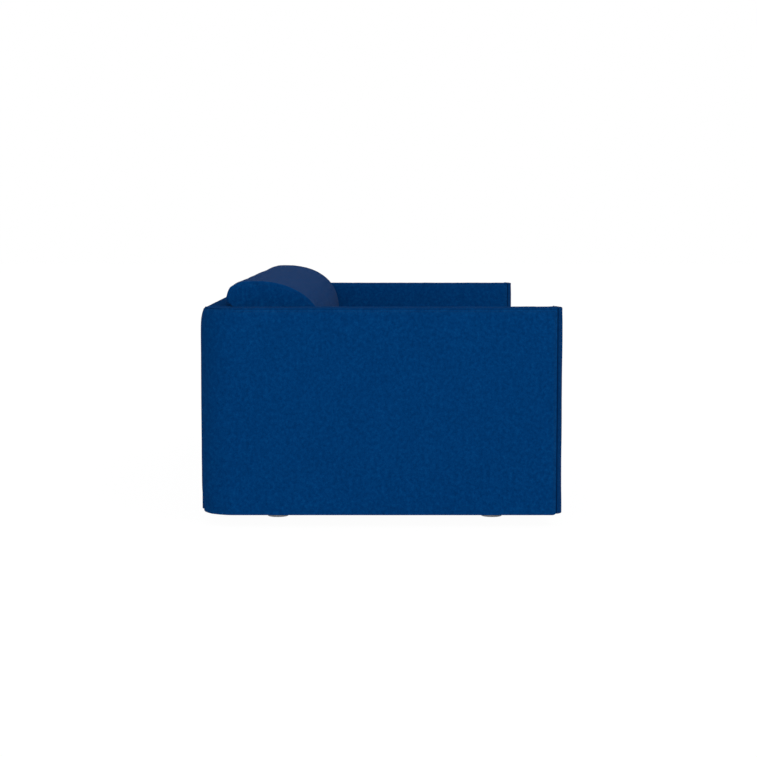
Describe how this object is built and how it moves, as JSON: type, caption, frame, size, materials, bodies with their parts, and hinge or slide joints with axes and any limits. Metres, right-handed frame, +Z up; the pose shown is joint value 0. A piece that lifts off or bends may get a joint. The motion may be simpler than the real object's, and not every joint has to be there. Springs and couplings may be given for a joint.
{
  "type": "futon sofa bed",
  "caption": "Box-shaped upholstered sofa bed: full-height arms and back on short round feet, two loose back cushions, a fold-over futon seat and a slatted pull-out front.",
  "frame": {"origin": "on the floor, at the centre of the width over the arms and of the depth from the back to the crown of the arm fronts", "axes": "+X along the width, left to right as seen from the front; +Y to the rear; +Z up"},
  "size_m": [2.14, 1.051, 0.712],
  "materials": {
    "upholstery": "matt mottled blue woven wool-look upholstery with a faint greyish nap",
    "foam": "open-cell upholstery foam",
    "wadding": "off-white cotton felt and fibre wadding",
    "lining": "black spun-bonded dust cloth",
    "zip": "navy nylon coil zip",
    "pine": "sawn and planed pine, unvarnished",
    "birch": "clear-lacquered birch",
    "zinc": "zinc-plated steel",
    "chrome": "polished chrome",
    "glide": "dark felt-faced plastic",
    "black_plastic": "moulded black plastic",
    "wheel_rubber": "dark grey rubber-tyred wheel"
  },
  "bodies": {
    "surround": {"arm_left_frame": "pine", "arm_left_foam": "foam", "arm_left_cover": "upholstery", "arm_right_frame": "pine", "arm_right_foam": "foam", "arm_right_cover": "upholstery", "back_frame": "pine", "back_foam": "foam", "back_cover": "upholstery", "underside_cloth": "lining", "base_side_rail_left": "pine", "base_side_rail_right": "pine", "base_front_rail": "pine", "base_rear_rail": "pine", "base_bearer_left": "pine", "base_bearer_centre": "pine", "base_bearer_right": "pine", "corner_brackets": "zinc", "arm_bolts": "zinc", "back_bolts": "zinc", "fixed_slats": "birch", "guide_channel_left": "zinc", "guide_channel_right": "zinc", "foot_front_left": "chrome", "foot_front_right": "chrome", "foot_rear_left": "chrome", "foot_rear_right": "chrome", "foot_glides": "glide", "centre_feet": "black_plastic", "lower_pad_core": "wadding", "lower_pad_cover": "upholstery", "lower_pad_zip": "zip", "fold_welt": "upholstery"},
    "pullout": {"pullout_front_board": "birch", "valance_foam": "foam", "valance_cover": "upholstery", "pull_tabs": "upholstery", "pullout_ledger": "pine", "pullout_rear_rail": "pine", "pullout_slats": "birch", "roller_axles": "zinc", "wheel_brackets": "zinc", "wheel_axles": "zinc"},
    "seat_upper": {"upper_pad_core": "wadding", "upper_pad_cover": "upholstery", "upper_pad_zip": "zip"},
    "roller_l": {"roller_left": "zinc"},
    "roller_r": {"roller_right": "zinc"},
    "wheel_l": {"wheel_left": "wheel_rubber"},
    "wheel_r": {"wheel_right": "wheel_rubber"},
    "back_cushion_left": {"cushion_left_core": "wadding", "cushion_left_cover": "upholstery", "cushion_left_zip": "zip"},
    "back_cushion_right": {"cushion_right_core": "wadding", "cushion_right_cover": "upholstery", "cushion_right_zip": "zip"}
  },
  "joints": [
    {"name": "pullout_slide", "type": "slide", "parent": "surround", "child": "pullout", "axis": [0, -1, 0], "range_m": [0, 0.6715]},
    {"name": "seat_fold", "type": "hinge", "parent": "surround", "child": "seat_upper", "pos_m": [0, -0.509, 0.32], "axis": [1, 0, 0], "range_deg": [0, 180]},
    {"name": "cushion_left_lift", "type": "slide", "parent": "surround", "child": "back_cushion_left", "axis": [0, 0, 1], "range_m": [0, 0.4]},
    {"name": "cushion_right_lift", "type": "slide", "parent": "surround", "child": "back_cushion_right", "axis": [0, 0, 1], "range_m": [0, 0.4]},
    {"name": "roller_left_spin", "type": "hinge", "parent": "pullout", "child": "roller_l", "pos_m": [-0.911, 0.281, 0.162], "axis": [1, 0, 0], "continuous": true},
    {"name": "roller_right_spin", "type": "hinge", "parent": "pullout", "child": "roller_r", "pos_m": [0.911, 0.281, 0.162], "axis": [1, 0, 0], "continuous": true},
    {"name": "wheel_left_spin", "type": "hinge", "parent": "pullout", "child": "wheel_l", "pos_m": [-0.62, -0.467, 0.022], "axis": [1, 0, 0], "continuous": true},
    {"name": "wheel_right_spin", "type": "hinge", "parent": "pullout", "child": "wheel_r", "pos_m": [0.62, -0.467, 0.022], "axis": [1, 0, 0], "continuous": true}
  ],
  "couplings": [
    {"joint": "roller_left_spin", "follows": "pullout_slide", "rad_per_m": 66.667},
    {"joint": "roller_right_spin", "follows": "pullout_slide", "rad_per_m": 66.667},
    {"joint": "wheel_left_spin", "follows": "pullout_slide", "rad_per_m": 45.455},
    {"joint": "wheel_right_spin", "follows": "pullout_slide", "rad_per_m": 45.455}
  ]
}
